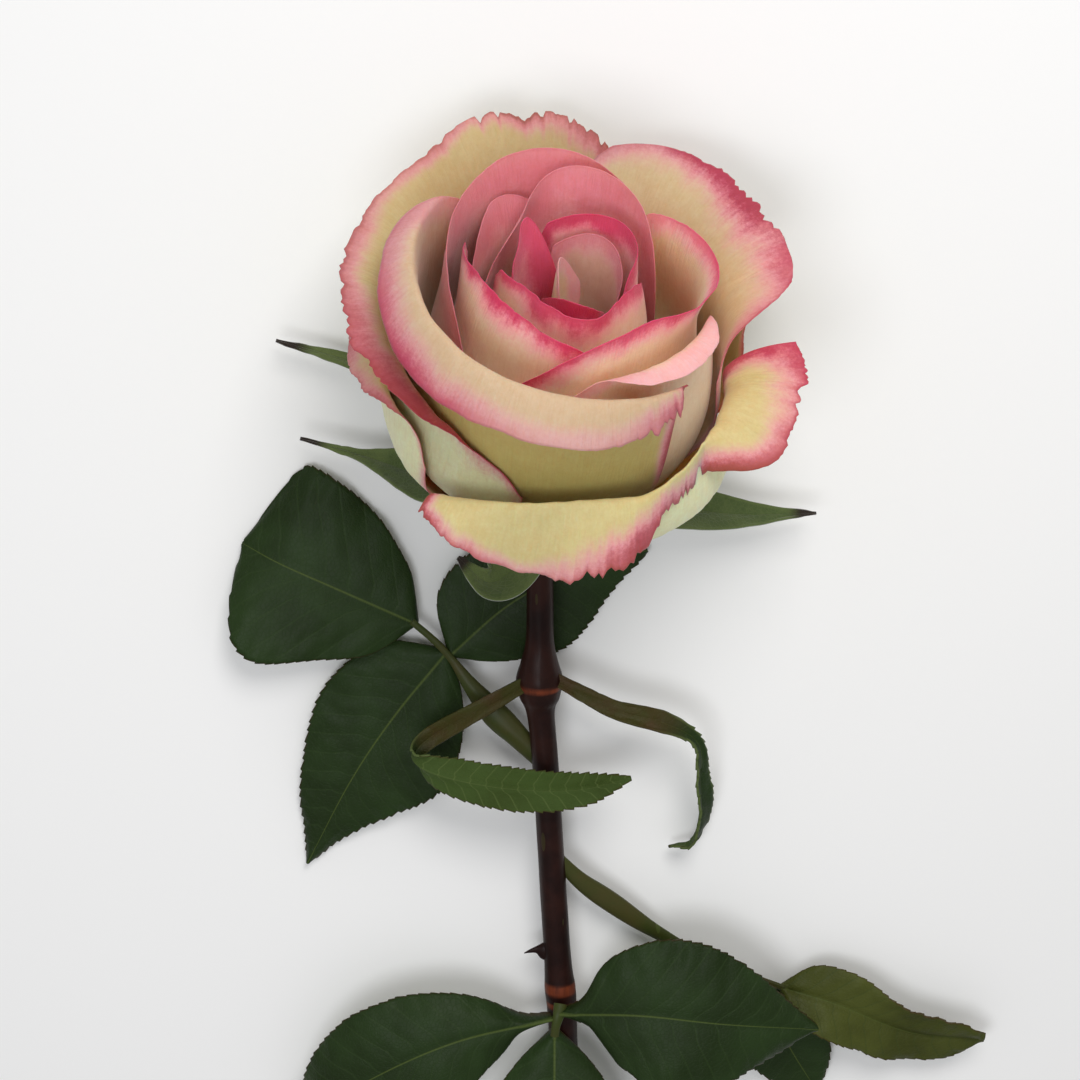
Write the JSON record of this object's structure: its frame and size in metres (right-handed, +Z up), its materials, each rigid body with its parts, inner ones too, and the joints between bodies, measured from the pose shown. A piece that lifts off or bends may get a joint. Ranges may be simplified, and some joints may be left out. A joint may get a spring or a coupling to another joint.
{
  "type": "cut rose",
  "caption": "Half-open cut rose lying on its side: layered bloom with rolled petals, sepals, leafy woody stem with prickles and a slanting cut end.",
  "frame": {"origin": "centre of the rose's bounding box, on the surface it lies on", "axes": "+Z up from the surface, +Y from the cut end of the stem to the bloom, +X to the right seen from above with the bloom at the top"},
  "size_m": [0.1662, 0.3715, 0.0825],
  "materials": {
    "petal": "soft satin, cream yellow shading to pink at the margins",
    "leaf": "waxy dark green with paler veins",
    "sepal": "downy grey green",
    "stalk": "smooth olive to brown",
    "stem": "smooth maroon brown with a slight sheen"
  },
  "bodies": {
    "root": {"bract_left": "leaf", "bract_right": "leaf", "leaflet_left_end": "leaf", "leaflet_left_low": "leaf", "leaflet_left_right": "leaf", "leaflet_right_end": "leaf", "leaflet_right_low": "leaf", "leaflet_top_left": "leaf", "leaflet_top_low": "leaf", "leaflet_top_right": "leaf", "petal_back_first": "petal", "petal_back_outer": "petal", "petal_back_second": "petal", "petal_dome": "petal", "petal_folded": "petal", "petal_front_outer": "petal", "petal_front_right": "petal", "petal_heart_back": "petal", "petal_heart_curl": "petal", "petal_heart_front": "petal", "petal_heart_inner": "petal", "petal_heart_sliver": "petal", "petal_left_back": "petal", "petal_left_front": "petal", "petal_left_inner": "petal", "petal_left_outer": "petal", "petal_right_back": "petal", "petal_right_wrap": "petal", "petiole_left": "stalk", "petiole_right": "stalk", "petiole_top": "stalk", "sepal_back": "sepal", "sepal_front": "sepal", "sepal_left_high": "sepal", "sepal_left_low": "sepal", "sepal_right": "sepal", "stem": "stem"}
  },
  "joints": []
}
